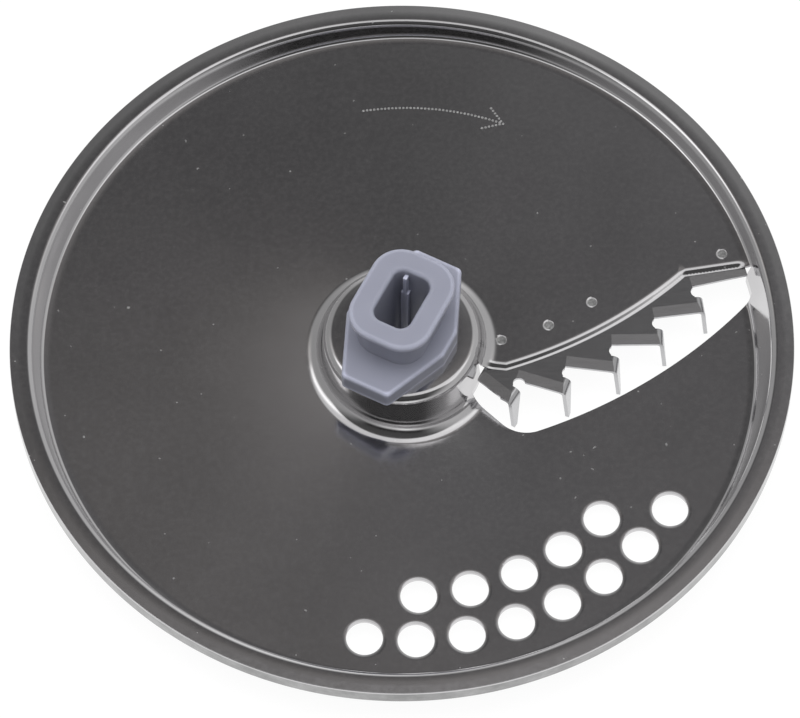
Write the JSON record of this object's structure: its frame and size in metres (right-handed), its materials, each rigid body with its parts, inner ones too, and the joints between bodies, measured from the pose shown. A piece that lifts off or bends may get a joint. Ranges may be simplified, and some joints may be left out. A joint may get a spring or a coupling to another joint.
{
  "type": "food processor disc",
  "caption": "Round pressed-steel cutting disc for chips, with a spiral floor, a stepped finned blade over a slot, rows of round holes and a moulded drive hub in the middle.",
  "frame": {"origin": "on the disc's axis, at the foot of the hub that it stands on", "axes": "+Z along the axis, up through the cutting side; +X towards the slot; +Y away from the viewer of the picture"},
  "size_m": [0.18, 0.18, 0.0344],
  "materials": {
    "plate_steel": "bright rolled stainless steel",
    "blade_steel": "ground stainless steel",
    "hub_plastic": "satin moulded plastic"
  },
  "bodies": {
    "root": {"disc_plate": "plate_steel", "cutting_blade": "blade_steel", "drive_hub": "hub_plastic"}
  },
  "joints": []
}
